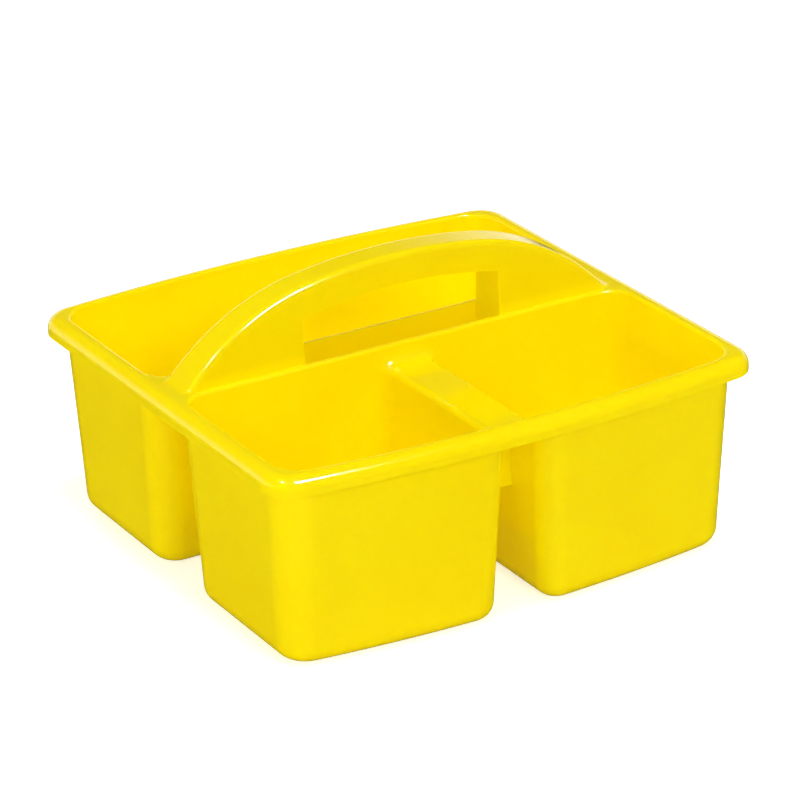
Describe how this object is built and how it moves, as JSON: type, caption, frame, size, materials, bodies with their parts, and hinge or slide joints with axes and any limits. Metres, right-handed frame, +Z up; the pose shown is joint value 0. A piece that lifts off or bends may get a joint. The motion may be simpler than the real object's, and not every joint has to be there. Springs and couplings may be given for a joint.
{
  "type": "cleaning caddy",
  "caption": "Moulded plastic carrying caddy: a wide rear well, smaller front wells, a rounded rim and a fixed arch handle for carrying cleaning supplies.",
  "frame": {"origin": "centre of the rim's footprint, on the plane the three flat bottoms rest on", "axes": "+X to the right along the front, along the handle; +Y to the back, towards the wide well; +Z up"},
  "size_m": [0.235, 0.2306, 0.1303],
  "materials": {
    "yellow_pp": "smooth moulded gloss"
  },
  "bodies": {
    "root": {"rear_bin": "yellow_pp", "front_left_bin": "yellow_pp", "front_right_bin": "yellow_pp", "rim": "yellow_pp", "handle_grip": "yellow_pp", "handle_leg_left": "yellow_pp", "handle_leg_right": "yellow_pp", "divider_bridge": "yellow_pp", "front_web": "yellow_pp"}
  },
  "joints": []
}
